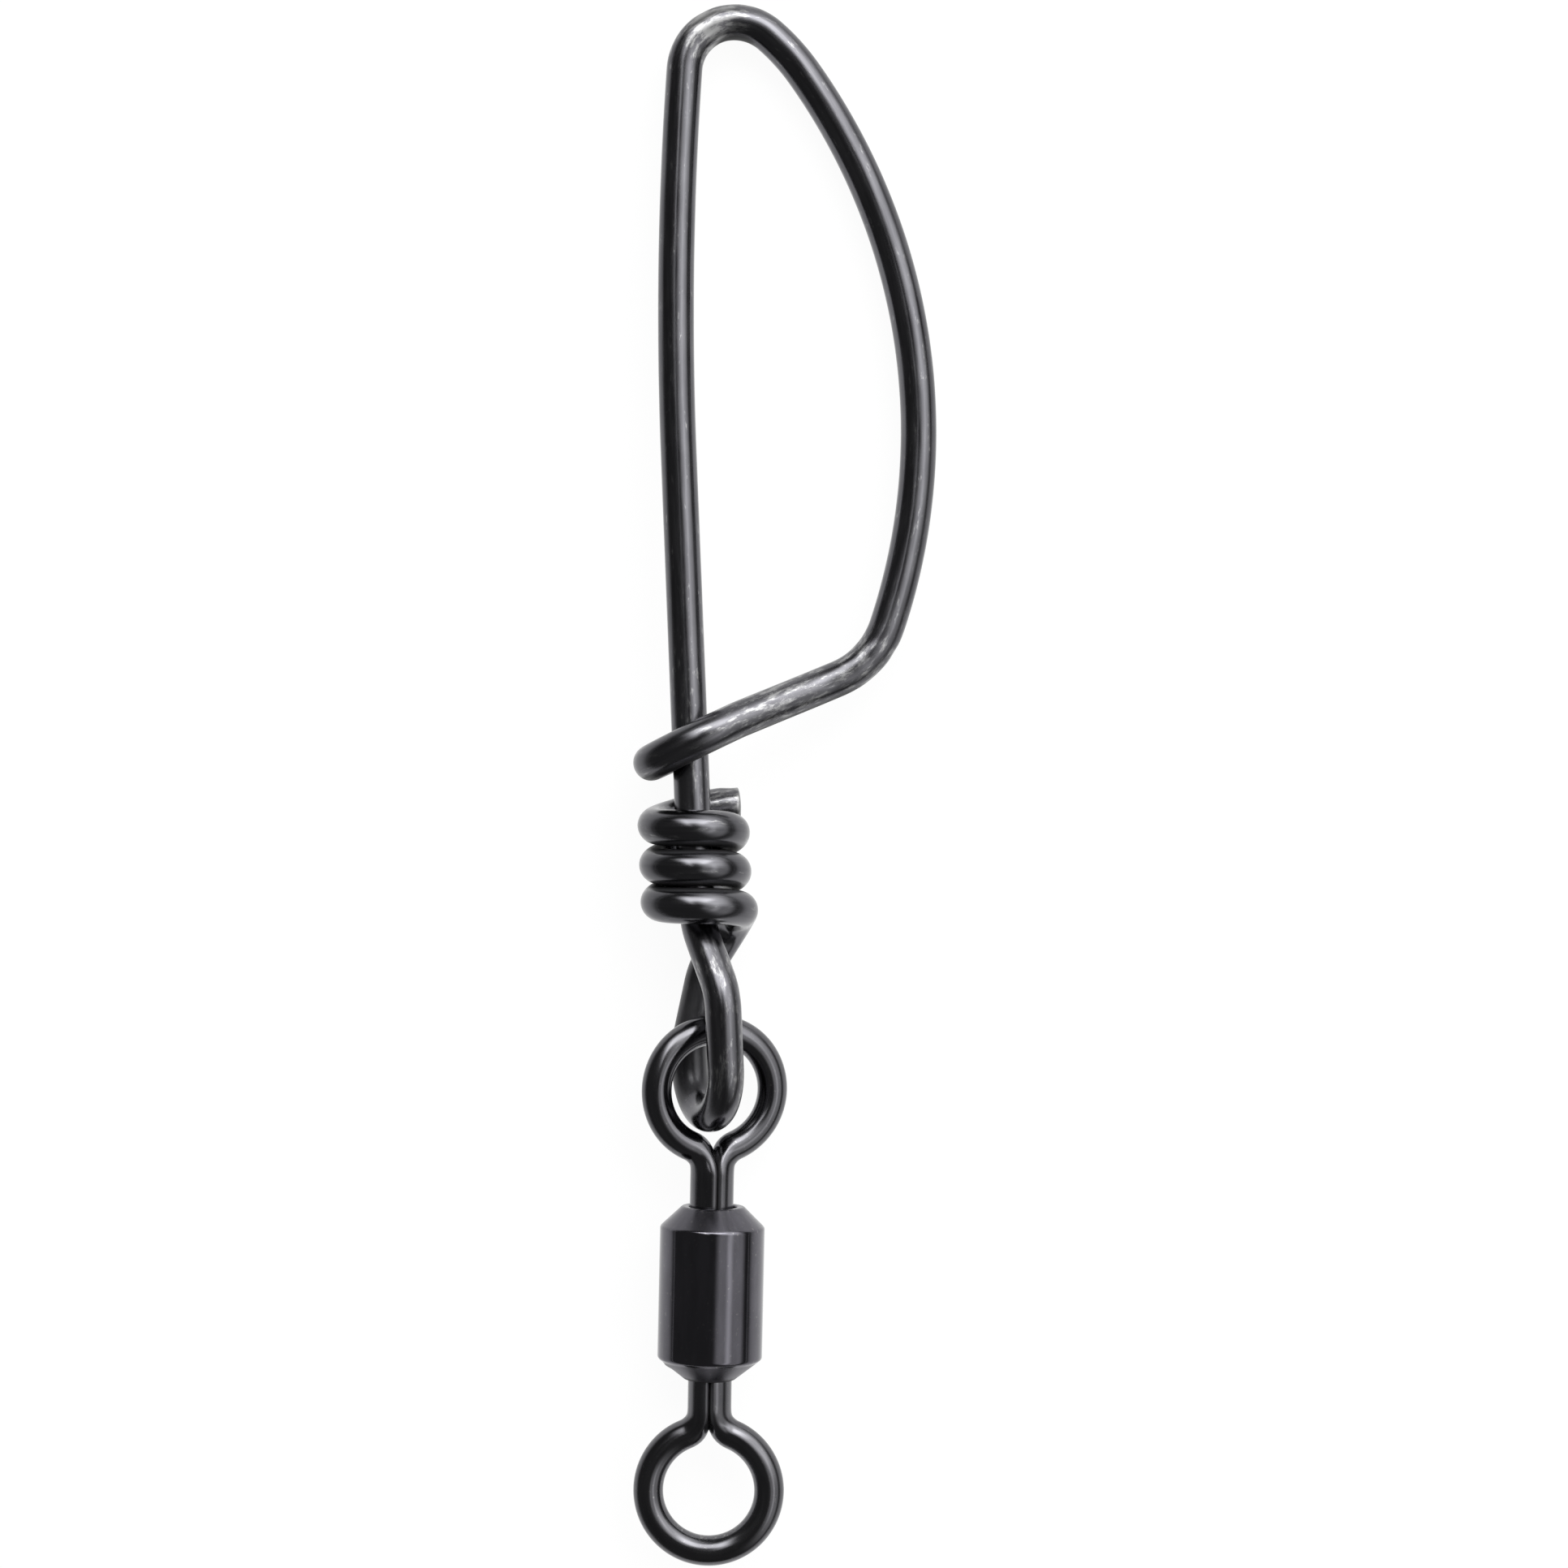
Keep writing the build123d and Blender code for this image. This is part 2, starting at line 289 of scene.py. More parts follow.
def platedMetal(name, look):
    # black nickel: dark mirror with drawn lines along "place", pits, bare bright spots where "wear" is high,
    # a satin surface where "dull" is high, and painted shade, near black, rough and barely metallic, where
    # the last attribute is high
    material = bpy.data.materials.new(name)
    tree = newTree(material)
    fields = ("place", "wear", "dull", "paintedShade")
    reads = [put(tree, "ShaderNodeAttribute", attribute_name=field) for field in fields]
    place = reads[0].outputs["Vector"]
    worn, dull, paintedShade = (read.outputs["Fac"] for read in reads[1:])
    lines = noise(tree, place, look["lines"], plating["lineDetail"], plating["softNoise"])
    cloud = noise(tree, place, look["cloud"], plating["cloudDetail"], plating["softNoise"])
    specks = noise(tree, place, look["specks"], plating["speckDetail"], plating["hardNoise"])
    raised = reckon(tree, "MULTIPLY_ADD", worn, plating["wearLift"], specks)
    rubbed = ranged(tree, raised, plating["bareFrom"], plating["bareFull"], 0.0, 1.0)
    clouded = reckon(tree, "MULTIPLY", cloud, plating["cloudShare"])
    tone = reckon(tree, "MULTIPLY_ADD", lines, plating["lineShare"], clouded)
    plate = mixed(tree, ranged(tree, tone, *plating["tone"], 0.0, 1.0), look["dark"], look["light"])
    # painted shade: the colour goes to near black where the shade attribute is high
    colour = mixed(tree, paintedShade, mixed(tree, rubbed, plate, look["bare"]), plating["paintedShadeColour"])
    drawn = ranged(tree, lines, *plating["lineSpan"], 0.0, 1.0)
    rough = reckon(tree, "MULTIPLY_ADD", drawn, look["roughSpan"], look["rough"])
    rough = reckon(tree, "MULTIPLY_ADD", worn, look["wornRough"], rough)
    rough = reckon(tree, "MULTIPLY_ADD", reckon(tree, "ADD", dull, paintedShade), plating["satin"], rough)
    pits = reckon(tree, "MULTIPLY", specks, worn)
    height = reckon(tree, "MULTIPLY_ADD", pits, look["wornRelief"], lines)
    height = reckon(tree, "MULTIPLY_ADD", cloud, look["lumps"] / look["relief"], height)
    relief = look["relief"] * millimetre
    bump = put(tree, "ShaderNodeBump", Strength=1.0, Distance=relief, Height=height).outputs[0]
    # painted shade also takes the metal away
    metal = reckon(tree, "MULTIPLY_ADD", paintedShade, -plating["shadeHidesMetal"], 1.0)
    inputs = {"Base Color": colour, "Metallic": metal, "Roughness": rough, "Normal": bump}
    shader = put(tree, "ShaderNodeBsdfPrincipled", **inputs)
    put(tree, "ShaderNodeOutputMaterial", Surface=shader.outputs[0])
    return material


# Colours, stretch of each noise along the wire or round the barrel and across it, roughness, and heights
finishes = {
    "snap": {
        "dark": (0.104, 0.103, 0.112, 1), "light": (0.136, 0.135, 0.145, 1), "bare": (0.34, 0.34, 0.34, 1),
        "lines": (0.35, 5.0, 5.0), "cloud": (0.5, 0.8, 0.8), "specks": (1.3, 4.2, 4.2),
        "rough": 0.14, "roughSpan": 0.08, "wornRough": 0.16,
        "relief": 0.0022, "wornRelief": 2.0, "lumps": 0.006,
    },
    "eye": {
        "dark": (0.104, 0.103, 0.111, 1), "light": (0.134, 0.133, 0.142, 1), "bare": (0.32, 0.32, 0.31, 1),
        "lines": (0.35, 4.0, 4.0), "cloud": (0.5, 0.8, 0.8), "specks": (5.0, 4.0, 4.0),
        "rough": 0.12, "roughSpan": 0.07, "wornRough": 0.14,
        "relief": 0.0018, "wornRelief": 3.0, "lumps": 0.005,
    },
    "barrel": {
        "dark": (0.109, 0.106, 0.120, 1), "light": (0.131, 0.127, 0.145, 1), "bare": (0.32, 0.31, 0.30, 1),
        "lines": (2.5, 0.5, 1.0), "cloud": (0.8, 0.4, 0.5), "specks": (6.0, 4.0, 4.0),
        "rough": 0.07, "roughSpan": 0.04, "wornRough": 0.16,
        "relief": 0.0008, "wornRelief": 4.0, "lumps": 0.002,
    },
}
snapFinish = platedMetal("blackNickelSnap", finishes["snap"])
eyeFinish = platedMetal("blackNickelEye", finishes["eye"])
barrelFinish = platedMetal("blackNickelBarrel", finishes["barrel"])
print("stage: finishes made")


# Barrel

barrel = {
    "radius": 2.536, "upperStraight": 3.20, "upperEnd": 4.20, "mouth": 1.50, "bore": 1.18,
    "lowerStraight": 3.13, "lowerEnd": 4.16, "lowerMouth": 1.22, "lowerBore": 1.13,
    "chamber": 1.975, "chamberHalf": 2.9135, "boreEnd": 3.9206,
    # rounding of each corner: upper bore, over the outside to the lower bore, and up the chamber
    "roundings": [0.05, 0.06, 0.10, 0.17, 0.17, 0.05, 0.03, 0.05, 0.08, 0.08],
    "step": 0.07, "sides": 128, "lean": 0.35, "shift": 0.09,
    # a small lip of metal left by swaging stands at the lower cone, and both ends are a little uneven
    "lip": {"y": -3.50, "angle": 178, "proud": 0.09, "height": 0.10, "width": 24, "outside": 1.6},
    "swaging": {"depth": 0.012, "lobes": 3, "width": 0.5, "outside": 1.2},
    # wear all over, on the edges of the straight part, on the rims and on the lip
    "plateWear": 0.06, "edgeWear": 0.12, "rimWear": 0.15, "lipWear": 2,
    "edgeWidth": 0.15, "edgeOutside": 2.2, "rimWidth": 0.2,
    # painted shade inside the lower mouth's bore and lip, fading out over its width
    "upperDull": 0.45, "lowerDull": 1.0, "dullWidth": 0.15, "mouthShade": 0.8, "mouthShadeWidth": 0.25,
}


def barrelPiece(size, middle):
    # the shell's closed profile carried round the swivel's axis, then leaned and moved up the axis;
    # its radius grows by the lip and by swaged * depth * sin(lobes a)
    upper = [
        (size["bore"], size["boreEnd"]), (size["bore"], size["upperEnd"]), (size["mouth"], size["upperEnd"]),
        (size["radius"], size["upperStraight"]),
    ]
    lower = [
        (size["radius"], -size["lowerStraight"]), (size["lowerMouth"], -size["lowerEnd"]),
        (size["lowerBore"], -size["lowerEnd"]), (size["lowerBore"], -size["boreEnd"]),
    ]
    inside = [(size["chamber"], -size["chamberHalf"]), (size["chamber"], size["chamberHalf"])]
    loop = [((size["chamber"] + size["bore"]) / 2, (size["chamberHalf"] + size["boreEnd"]) / 2)]
    loop = loop + upper + lower + inside + loop
    line, _ = evenly(roundedRun([(r, y, 0) for r, y in loop], size["roundings"]), size["step"])
    points, faces, place = lathe(line[:-1, [0, 1]], size["sides"], True)
    a, y, r = place.T
    lip, swaging, height = size["lip"], size["swaging"], np.abs(y)
    off = (np.degrees(a) - lip["angle"] + 180) % 360 - 180
    proud = np.exp(-((y - lip["y"]) / lip["height"]) ** 2 - (off / lip["width"]) ** 2)
    proud = proud * lip["proud"] * (r > lip["outside"])
    swaged = hump(height - size["upperEnd"], swaging["width"]) * (r > swaging["outside"])
    uneven = swaged * swaging["depth"] * np.sin(swaging["lobes"] * a + 1 + (y < 0)) + proud
    points[:, [0, 2]] *= (1 + uneven / r)[:, None]
    edge = hump(height - size["upperStraight"], size["edgeWidth"]) * (r > size["edgeOutside"])
    rim = hump(height - size["upperEnd"], size["rimWidth"])
    dull = eased(height, size["upperStraight"], size["upperStraight"] + size["dullWidth"])
    dull = dull * np.where(y < 0, size["lowerDull"], size["upperDull"])
    # painted shade: the lower bore and the inside of its lip are darkened, as a recess in shade
    shadedTo = size["lowerMouth"] + size["mouthShadeWidth"]
    paintedShade = eased(r, shadedTo, size["lowerMouth"]) * (y < 0) * size["mouthShade"]
    wear = size["plateWear"] + size["edgeWear"] * edge + size["rimWear"] * rim + size["lipWear"] * proud
    place = np.stack([a * size["radius"], y, r], 1)
    points = points @ turned((0, 0, 1), -size["lean"]).T + middle + (0, size["shift"], 0)
    fields = {"place": place, "wear": np.clip(wear, 0, 1), "dull": dull, "paintedShade": paintedShade}
    return pieceFrom("swivelBarrelShell", points, faces, fields, barrelFinish)


axisMiddle = np.array(joints["snap_eye_spin"]["pos_m"]) / millimetre
shell = barrelPiece(barrel, axisMiddle)
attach(shell, "barrel")
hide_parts("swivel_barrel")
print("stage: barrel made")


# Eyes

eye = {
    "wire": 1.45, "ringRadius": 2.925, "ringMiddle": 9.827, "legMiddle": 0.455, "shoulder": 1.10,
    "neck": 1.06, "slit": 0.02, "tongue": 0.05, "tongueWidth": 0.4, "legEnd": 2.75,
    "ringScale": 0.996, "dome": 0.1, "step": 0.13, "sides": 56,
    # section: how sharp its two corners are, and how far below and above the shoulder it turns round
    "sharpness": 9.0, "roundFrom": 0.35, "roundFull": 0.95,
    # unevenness of the wire: its depth, its waves per millimetre and its highest factor
    "uneven": 0.0025, "unevenWaves": 0.35, "unevenMost": 1.002,
    "headFoot": 2.4821, "headSide": 1.755, "coneFoot": 3.0821, "coneTop": 3.9427,
    "headRoundings": [0.05, 0.06, 0.28], "headCore": 0.001, "headStep": 0.12, "headSides": 48,
    # wear all over, and inside the ring's crown, where the snap's loop rubs; painted shade in the slit
    # between the two legs
    "plateWear": 0.06, "crownWear": 0.4, "crownHeight": 1.2, "innerDepth": 0.7, "innerWidth": 0.25,
    "slitShade": 0.8, "slitWidth": 0.16, "slitTop": 0.9,
    "sideways": 0.03,  # both eyes stand this far to the right of the axis
    "shiftStart": 1.2,  # how far above the cone the neck's own shift starts to fade
}


def eyePiece(name, size, axes, middle, pushedIn, neckShift, seed):
    # wire carried up one leg, round the ring and down the other; the section goes from half round in the
    # legs, where the two are pressed together, to round: 1/reach^p = 1/arc^p + 1/flat^p, eased to wire/2;
    # pushedIn moves the eye into the barrel, and neckShift moves the legs sideways, eased to 0 at the ring
    reachX, ringY = size["legMiddle"] + size["shoulder"], size["ringMiddle"] - pushedIn
    shoulderY = ringY - np.sqrt((size["ringRadius"] + size["shoulder"]) ** 2 - reachX ** 2)
    turn = np.degrees(np.arctan2(ringY - shoulderY, reachX))
    foot = size["legEnd"] - pushedIn
    x, y, z = np.eye(3)
    line = np.concatenate([
        [(-size["legMiddle"], foot, 0)],
        arcRun((-reachX, shoulderY, 0), x, y, size["shoulder"], 0, turn),
        arcRun((0, ringY, 0), x, y, size["ringRadius"], 180 + turn, -turn),
        arcRun((reachX, shoulderY, 0), x, y, size["shoulder"], 180 - turn, 180),
        [(size["legMiddle"], foot, 0)],
    ])
    path, s = evenly(line, size["step"])
    t = unit(np.gradient(path, axis=0))
    b = np.broadcast_to(z, path.shape)
    n = np.cross(b, t)
    a = np.linspace(0, 2 * np.pi, size["sides"], endpoint=False)
    legX, power = size["legMiddle"], size["sharpness"]
    arc = np.sqrt(size["neck"] ** 2 - (legX * np.sin(a)) ** 2) - legX * np.cos(a)
    # the facing sides bulge alike, one into the other, so that no light passes between them
    bulge = size["tongue"] * hump(legX * np.tan(a), size["tongueWidth"]) * np.sign(-path[:, :1])
    facing, least, far = -np.cos(a), 0.05, 1000.0
    flat = (legX - size["slit"] / 2 + bulge) / np.maximum(facing, least)
    flat = np.where(facing > least, flat, far)
    pressed = (arc ** -power + flat ** -power) ** (-1 / power)
    legShare = 1 - eased(path[:, 1], shoulderY - size["roundFrom"], shoulderY + size["roundFull"])
    ringReach = size["wire"] / 2 * size["ringScale"]
    reach = ringReach * (1 - legShare[:, None]) + pressed * legShare[:, None]
    points, faces, place = tube(path, s, n, b, t, reach, size["dome"])
    wobble = np.minimum(1 + size["uneven"] * ripple(points, size["unevenWaves"], seed), size["unevenMost"])
    centres = overTube(path, size["sides"])
    points = centres + (points - centres) * wobble[:, None]
    # upset head inside the barrel
    head = roundedRun([
        (size["headCore"], size["coneTop"], 0), (size["neck"], size["coneTop"], 0),
        (size["headSide"], size["coneFoot"], 0), (size["headSide"], size["headFoot"], 0),
        (size["headCore"], size["headFoot"], 0),
    ], size["headRoundings"])
    head, _ = evenly(head, size["headStep"])
    headPoints, headFaces, headPlace = lathe(head[:, [0, 1]], size["headSides"], False)
    headPoints[:, 1] -= pushedIn
    faces = faces + [[len(points) + corner for corner in face] for face in headFaces]
    points = np.concatenate([points, headPoints])
    place = np.concatenate([place, headPlace])
    crown = hump(points[:, 1] - ringY - size["ringRadius"], size["crownHeight"])
    fromRing = np.hypot(points[:, 0], points[:, 1] - ringY) - size["ringRadius"]
    inner = hump(fromRing + size["innerDepth"], size["innerWidth"])
    wear = np.clip(size["plateWear"] + size["crownWear"] * crown * inner, 0, 1)
    # painted shade along the slit where the two legs meet, fading out towards the ring
    paintedShade = size["slitShade"] * hump(points[:, 0], size["slitWidth"])
    paintedShade = paintedShade * eased(points[:, 1], shoulderY + size["slitTop"], shoulderY)
    points[:, 0] += neckShift * (1 - eased(points[:, 1], size["coneTop"] + size["shiftStart"], ringY))
    fields = {"place": place, "wear": wear, "dull": 0 * wear, "paintedShade": paintedShade}
    return pieceFrom(name, points @ axes.T + middle, faces, fields, eyeFinish)


crownWay = unit(joints["snap_swing"]["axis"])
upWay = np.array([0.0, 1.0, 0.0])
snapEyeAxes = np.stack([crownWay, upWay, np.cross(crownWay, upWay)], 1)
lineEyeAxes = np.stack([(-1.0, 0, 0), (0, -1.0, 0), (0, 0, 1.0)], 1)
eyeMiddle = axisMiddle + (eye["sideways"], barrel["shift"], 0)
snapEye = eyePiece("snapSideEyeWire", eye, snapEyeAxes, eyeMiddle, pushedIn=0.0, neckShift=-0.07, seed=3)
lineEye = eyePiece("lineSideEyeWire", eye, lineEyeAxes, eyeMiddle, pushedIn=0.27, neckShift=0.02, seed=5)
for piece, body, node in ((snapEye, "snap_eye", "snap_side_eye"), (lineEye, "line_eye", "line_side_eye")):
    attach(piece, body)
    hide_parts(node)
print("stage: eyes made")


# Snap

snap = {
    "wire": 1.75, "step": 0.15, "sides": 48, "dome": 0.12,
    # how it lies: pitch, roll, lean, and its plane from the crown of the eye
    "pitch": 2.69, "roll": 5.0, "lean": 3.25,
    "backReach": 1.795, "loopShift": 0.37, "stemX": -0.42, "stemZ": 0.347,
    # wrap: right side first, three passes in front, and the cut tail behind
    "wrapRadius": 1.81, "wrapLeft": 1.85, "wrapFront": 1.84, "wrapBack": 1.913,
    "wrapStart": 5.80, "wrapPitch": 1.9026, "wrapEnd": 990, "wrapPoints": 900,
    "wrapBulge": 0.25, "bulgeTurn": 52, "frontRise": 0.55, "tail": 2.35, "tailRadius": 10.0,
    "sinks": [0, 0.04, 0.07, -0.05, 0.05, 0.06],  # how far each half turn sinks below an even wrap
    # eye loop: its round foot, and the corners of its two legs with the radius of each bend
    "loopRadius": 2.25, "loopMiddle": (0.20, -1.70, -0.345), "legTurn": 19.0,
    "backLeg": [(2.06, 5.50, -1.9, 1.9), (0.439, 3.105, -2.45, 4.0), (-0.5325, -0.68, -2.472, 4.0)],
    "frontLeg": [(0.9325, 1.877, 1.782, 3.0), (0, 5.217, 0, 2.9)],
    # stem, top bend, bow and low bend: length and turn of each run
    "stemStart": (-0.036, 8.0, 0), "heading": 89.956,
    "runs": [
        (19.995, 0), (18.893, -6.17), (5.590, -126.702), (2.508, -13.897), (28.345, -53.991), (3.640, -47.6),
    ],
    # bar and hook
    "hookMiddle": (-0.235, 13.84, 0), "hookRadius": 1.865, "hookTop": 1.905, "hookSlope": 0.85,
    "hookTurn": 2.0, "hookRun": 1.8, "barRun": 1.0, "barLift": 6.0, "barTurn": 9.0,
    "tip": 0.7, "tipPoints": 20,
    # places that were pressed or rubbed: two along the runs, one before their end, and how far each reaches
    "topBendAt": 41.64, "bendFootAt": 39.74, "lowBendBefore": 1.78, "markReach": 1.6,
    # where the bending tools pressed the wire: mark, depth, waves per millimetre and seed
    "presses": [("topBend", 0.020, 0.9, 11), ("lowBend", 0.016, 0.8, 12)], "pressMean": 0.6,
    "uneven": {"mean": 0.0015, "depth": 0.002, "waves": 0.25, "seed": 13, "least": 0.0005, "most": 0.1},
    "cutEnd": {"pinch": 0.05, "length": 0.9, "mean": 1.2, "waves": 0.7, "seed": 14, "bright": 0.01},
    # wear all over, at each mark and along the bar
    "plateWear": 0.10, "barWear": 0.45, "barShare": 0.4, "barReach": 4.0,
    "markWear": {
        "topBend": 0.7, "bendFoot": 0.15, "lowBend": 0.4, "tail": 0.4, "loopEnd": 0.25, "loopLeg": 0.35,
    },
    # painted shade between the turns of the wrap, and painted shadow down the leg behind
    "gapShade": 0.95, "gapFacing": (0.72, 0.92), "gapOutside": 1.5, "gapBelow": 0.6, "gapEnds": 0.8,
    "backLegShade": 0.55, "backLegDepth": (-1.2, -2.0), "backLegBelow": (1.5, 3.5),
}


def snapPath(size):
    # one line from the cut tail to the tip of the hook, in the snap's own plane, and its marked places
    x, y, z = np.eye(3)
    # wrap: (wide cos a, start + pitch a / 2 pi - fall (1 - cos a) - sunk, depth sin a)
    pitch, fall = size["wrapPitch"], (size["wrapPitch"] / 2 - size["frontRise"]) / 2
    a = np.radians(np.linspace(size["wrapEnd"], 0, size["wrapPoints"]))
    depth = np.where(np.sin(a) > 0, size["wrapFront"], size["wrapBack"])
    half = np.arange(len(size["sinks"])) * np.pi
    sunk = eased(a[:, None], half, half + np.pi) @ size["sinks"]
    rise = size["wrapStart"] + pitch * a / (2 * np.pi) - fall * (1 - np.cos(a)) - sunk
    wide = np.where(np.cos(a) > 0, size["wrapRadius"], size["wrapLeft"])
    wide = wide + size["wrapBulge"] * hump(a, np.radians(size["bulgeTurn"]))
    wrap = np.stack([wide * np.cos(a), rise, depth * np.sin(a)], 1)
    side = unit(wrap[0] - wrap[1])
    up = unit(y - side * side[1])
    tailBend = np.degrees(size["tail"] / size["tailRadius"])
    tail = arcRun(wrap[0] - up * size["tailRadius"], up, side, size["tailRadius"], tailBend, 0)
    # loop: across behind the stem, down, round and up to the stem
    turn = np.radians(size["legTurn"])
    out = np.array([np.sin(turn), 0, np.cos(turn)])
    under = arcRun(np.array(size["loopMiddle"]), out, y, size["loopRadius"], -180, 0)
    stemStart = np.array(size["stemStart"])
    back, front = np.array(size["backLeg"]), np.array(size["frontLeg"])
    down = roundedRun([wrap[-1], *back[:, :3], under[0]], back[:, 3])
    rising = roundedRun([under[-1], *front[:, :3], stemStart], front[:, 3])
    outline = steeredRun(stemStart, size["heading"], size["runs"])
    # bar: over the stem by a quarter of an ellipse, round its far side and back under it
    barStart, hookMiddle = outline[-1], np.array(size["hookMiddle"])
    radius, high, long = size["hookRadius"], size["hookTop"], size["hookRadius"] + size["hookSlope"]
    way = turned(z, size["hookTurn"]) @ unit(hookMiddle - barStart)
    top = hookMiddle - way * size["hookSlope"]
    bend = top - way * size["hookRun"]
    start = barStart + unit(bend - barStart) * size["barRun"]
    run = np.linalg.norm(bend - start)
    lift = np.arcsin(long / (run + size["hookRun"]))
    landing = top - way * long * np.sin(lift) + z * high * np.cos(lift)
    share = run / (run + size["hookRun"] - long * np.sin(lift))
    bend = bend + z * landing[2] * share
    bar = roundedRun([barStart, start, bend, landing], [size["barLift"], size["barTurn"]])
    over = arcRun(top, way * long / radius, z * high / radius, radius, 90 + np.degrees(lift), 0)
    hook = np.concatenate([over, arcRun(hookMiddle, way, z, radius, 0, -90)])
    tip = hook[-1] - way * np.linspace(0, size["tip"], size["tipPoints"])[:, None]
    marks = {
        "tail": tail[0], "loopEnd": under[-1], "loopLeg": rising[len(rising) // 2],
        "topBend": outline[round(size["topBendAt"] / runStep)],
        "bendFoot": outline[round(size["bendFootAt"] / runStep)],
        "lowBend": outline[-1 - round(size["lowBendBefore"] / runStep)],
        "barStart": barStart, "hook": hookMiddle + way * size["hookRadius"],
    }
    return np.concatenate([tail, wrap, down, under, rising, outline, bar, hook, tip]), marks


def snapPiece(size):
    # round wire carried along snapPath, its radius less what the presses and the unevenness take off,
    # then tilted and moved so that its loop goes round the crown of the eye
    line, marks = snapPath(size)
    path, s = evenly(line, size["step"])
    t, n, b = carried(path, (0, 0, 1))
    sides, radius = size["sides"], size["wire"] / 2
    ring = rings(sides, n, b)
    distances = {name: np.linalg.norm(path - mark, axis=1) for name, mark in marks.items()}
    near = {name: hump(distance, size["markReach"]) for name, distance in distances.items()}
    skin = path[:, None] + radius * ring
    # bending tools pressed the wire a little flat at the top and low bends, and left small dents
    pressed = 0
    for mark, depth, waves, seed in size["presses"]:
        pressed = pressed + depth * near[mark][:, None] * (size["pressMean"] + ripple(skin, waves, seed))
    uneven = size["uneven"]
    rough = uneven["mean"] + uneven["depth"] * ripple(skin, uneven["waves"], uneven["seed"])
    reach = radius - np.clip(pressed + rough, uneven["least"], uneven["most"])
    # cut end of the tail: pinched to an uneven face
    cut = size["cutEnd"]
    pinch = cut["pinch"] * eased(s, cut["length"], 0.0)[:, None]
    reach = reach * (1 - pinch * (cut["mean"] + ripple(skin, cut["waves"], cut["seed"])))
    points, faces, place = tube(path, s, n, b, t, reach, size["dome"])
    amount = sum(share * near[mark] for mark, share in size["markWear"].items())
    barMiddle = marks["barStart"] * (1 - size["barShare"]) + marks["hook"] * size["barShare"]
    barWear = size["barWear"] * hump(np.linalg.norm(path - barMiddle, axis=1), size["barReach"])
    amount = np.clip(size["plateWear"] + amount + barWear, 0, 1)
    wear = overTube(np.clip(amount + eased(s, cut["bright"], 0.0), 0, 1), sides)
    # painted shade between the turns of the wrap, where they face each other, and painted shadow down the
    # leg behind
    start, pitch = size["wrapStart"], size["wrapPitch"]
    end, apart = start + pitch * size["wrapEnd"] / 360, pitch * size["gapEnds"]
    height, upward = path[:, 1], ring[..., 1]
    wrapped = (np.hypot(path[:, 0], path[:, 2]) > size["gapOutside"]) & (height > start - size["gapBelow"])
    facing = np.where(upward > 0, (height < end - apart)[:, None], (height > start + apart)[:, None])
    gapAndLegShade = eased(np.abs(upward), *size["gapFacing"]) * facing * wrapped[:, None] * size["gapShade"]
    # painted shadow on the leg behind, under the near leg and the ring
    legStart, legFull = size["backLegBelow"]
    behind = eased(path[:, 2], *size["backLegDepth"]) * eased(height, start - legStart, start - legFull)
    gapAndLegShade = np.maximum(gapAndLegShade, (behind * size["backLegShade"])[:, None])
    paintedShade = np.concatenate([gapAndLegShade[tubeStations(len(path))].ravel(), [0, 0]])
    # into the part's frame
    pitched, rolled = turned((1, 0, 0), -size["pitch"]), turned((0, 1, 0), size["roll"])
    tilt = pitched @ rolled @ turned((0, 0, 1), size["lean"])
    crown = np.array(joints["snap_swing"]["pos_m"]) / millimetre
    forward = snapEyeAxes[:, 2] * (size["loopRadius"] - size["backReach"])
    origin = crown + forward - snapEyeAxes[:, 0] * size["loopShift"]
    origin = origin + tilt[:, 0] * size["stemX"] + tilt[:, 2] * size["stemZ"]
    points = points @ tilt.T + origin
    print("snap wire length", round(float(s[-1]), 2))
    fields = {"place": place * (1, radius, radius), "wear": wear, "dull": 0 * wear, "paintedShade": paintedShade}
    return pieceFrom("snapFormedWire", points, faces, fields, snapFinish)


snapWire = snapPiece(snap)
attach(snapWire, "snap")
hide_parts("snap_wire")
print("stage: snap made")


# Floor, light and camera

studio = {
    "floorHalf": 4,  # in metres
    "floorShown": 0.95, "floorShade": 0.065, "floorPale": 0.7, "floorMirrored": 1.0,
    "mirrorReach": 0.028,  # in metres
    "room": 0.085, "backdrop": 0.5, "backdropTop": 0.05,
    # soft boxes, in degrees: azimuth from +X towards +Y, polar angle from straight up, half width and half
    # height, and the softness of the sides and of the upper and lower edges
    "boxes": [
        {"azimuth": 84, "half": 32, "side": 10, "polar": 44, "tall": 14, "edge": 8, "strength": 4.8},
        {"azimuth": 117, "half": 9, "side": 8, "polar": 40, "tall": 26, "edge": 8, "strength": 2.2},
        {"azimuth": 40, "half": 30, "side": 22, "polar": 46, "tall": 20, "edge": 14, "strength": 2.0},
        {"azimuth": 10, "half": 60, "side": 20, "polar": 46, "tall": 30, "edge": 7, "strength": 0.75},
        {"azimuth": -5, "half": 35, "side": 15, "polar": 42, "tall": 5, "edge": 5, "strength": 1.1},
        {"azimuth": 62, "half": 24, "side": 20, "polar": 76, "tall": 14, "edge": 8, "strength": 1.5},
    ],
}
white = (1, 1, 1, 1)


def rayKinds(tree):
    # 1 on rays from the camera, also through clear matter, and 1 on mirrored rays
    rays = put(tree, "ShaderNodeLightPath").outputs
    return reckon(tree, "MAXIMUM", rays["Is Camera Ray"], rays["Is Transmission Ray"]), rays["Is Glossy Ray"]


